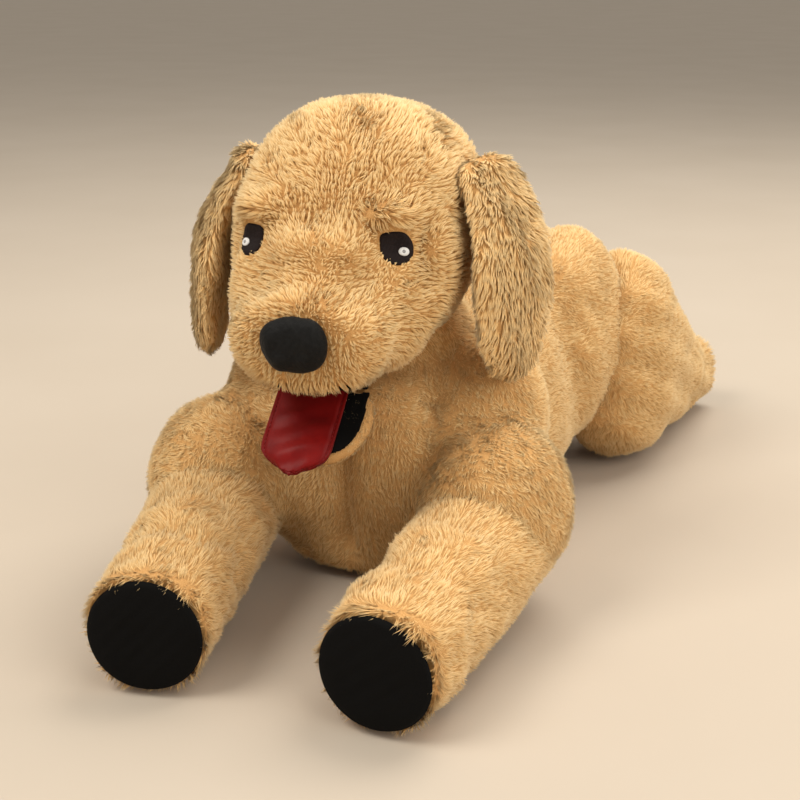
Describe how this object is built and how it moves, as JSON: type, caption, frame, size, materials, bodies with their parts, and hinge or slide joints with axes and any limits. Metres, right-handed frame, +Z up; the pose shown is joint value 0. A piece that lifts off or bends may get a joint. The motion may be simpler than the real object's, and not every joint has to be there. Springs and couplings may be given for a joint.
{
  "type": "plush dog",
  "caption": "Large soft toy dog lying on its belly with its forelegs stretched out, hanging ears, an open mouth with a satin tongue and round sole pads.",
  "frame": {"origin": "on the floor, under the middle of the dog's length and the middle of its hips", "axes": "+Z up; the dog looks along -Y; +X is the dog's left"},
  "size_m": [0.411, 0.9072, 0.435],
  "materials": {
    "plush": "short golden tan pile, 8 to 15 mm long, tips paler than the roots",
    "fibre_fill": "white polyester fibre",
    "backing": "knitted backing of the plush, folded into the neck seam",
    "nose_fabric": "black napped fabric with a faint sheen",
    "eye_thread": "dark brown satin-stitch embroidery",
    "white_thread": "white satin-stitch embroidery",
    "mouth_fabric": "black short-napped lining",
    "satin": "bright red satin with soft creases",
    "ear_lining": "golden tan pile, a little shorter, on the inner side of the ears",
    "sole_fabric": "matt black short-napped fabric"
  },
  "bodies": {
    "torso": {"torso_left": "plush", "torso_right": "plush", "torso_stuffing": "fibre_fill", "belly_panel": "plush", "neck_seam": "backing"},
    "head": {"head_left": "plush", "head_right": "plush", "head_stuffing": "fibre_fill", "muzzle": "plush", "nose": "nose_fabric", "eye_left": "eye_thread", "eye_right": "eye_thread", "glint_left": "white_thread", "glint_right": "white_thread", "mouth_lining": "mouth_fabric"},
    "jaw": {"jaw": "plush", "jaw_lining": "mouth_fabric"},
    "tongue": {"tongue_upper": "satin", "tongue_under": "satin"},
    "ear_left": {"ear_left": "plush", "ear_left_lining": "ear_lining", "ear_left_batting": "fibre_fill"},
    "ear_right": {"ear_right": "plush", "ear_right_lining": "ear_lining", "ear_right_batting": "fibre_fill"},
    "foreleg_left": {"foreleg_left": "plush", "foreleg_left_stuffing": "fibre_fill", "foreleg_left_pad": "sole_fabric"},
    "foreleg_right": {"foreleg_right": "plush", "foreleg_right_stuffing": "fibre_fill", "foreleg_right_pad": "sole_fabric"},
    "hind_leg_left": {"hind_leg_left": "plush", "hind_leg_left_stuffing": "fibre_fill", "hind_leg_left_pad": "sole_fabric"},
    "hind_leg_right": {"hind_leg_right": "plush", "hind_leg_right_stuffing": "fibre_fill", "hind_leg_right_pad": "sole_fabric"},
    "tail": {"tail": "plush", "tail_stuffing": "fibre_fill"}
  },
  "joints": [
    {"name": "neck_turn", "type": "hinge", "parent": "torso", "child": "head", "pos_m": [-0.028, -0.14, 0.243], "axis": [0, 0, 1], "range_deg": [-22, 22]},
    {"name": "jaw_flap", "type": "hinge", "parent": "head", "child": "jaw", "pos_m": [-0.03114, -0.23846, 0.2], "axis": [0.9976, 0.0698, 0], "range_deg": [-8, 6]},
    {"name": "tongue_lift", "type": "hinge", "parent": "jaw", "child": "tongue", "pos_m": [-0.04459, -0.24677, 0.19621], "axis": [-0.9976, -0.0698, 0], "range_deg": [0, 18]},
    {"name": "ear_left_swing", "type": "hinge", "parent": "head", "child": "ear_left", "pos_m": [0.07842, -0.15662, 0.377], "axis": [-0.2756, -0.9613, 0], "range_deg": [0, 50]},
    {"name": "ear_right_swing", "type": "hinge", "parent": "head", "child": "ear_right", "pos_m": [-0.13905, -0.17182, 0.377], "axis": [-0.4067, 0.9135, 0], "range_deg": [0, 50]},
    {"name": "foreleg_left_lift", "type": "hinge", "parent": "torso", "child": "foreleg_left", "pos_m": [0.106, -0.205, 0.076], "axis": [-1, 0, 0], "range_deg": [0, 14]},
    {"name": "foreleg_right_lift", "type": "hinge", "parent": "torso", "child": "foreleg_right", "pos_m": [-0.15, -0.219, 0.076], "axis": [-1, 0, 0], "range_deg": [0, 14]},
    {"name": "hind_leg_left_lift", "type": "hinge", "parent": "torso", "child": "hind_leg_left", "pos_m": [0.12, 0.214, 0.094], "axis": [1, 0, 0], "range_deg": [0, 14]},
    {"name": "hind_leg_right_lift", "type": "hinge", "parent": "torso", "child": "hind_leg_right", "pos_m": [-0.12, 0.214, 0.094], "axis": [1, 0, 0], "range_deg": [0, 14]},
    {"name": "tail_wag", "type": "hinge", "parent": "torso", "child": "tail", "pos_m": [0, 0.3465, 0.128], "axis": [0, 0, 1], "range_deg": [-30, 30]}
  ]
}
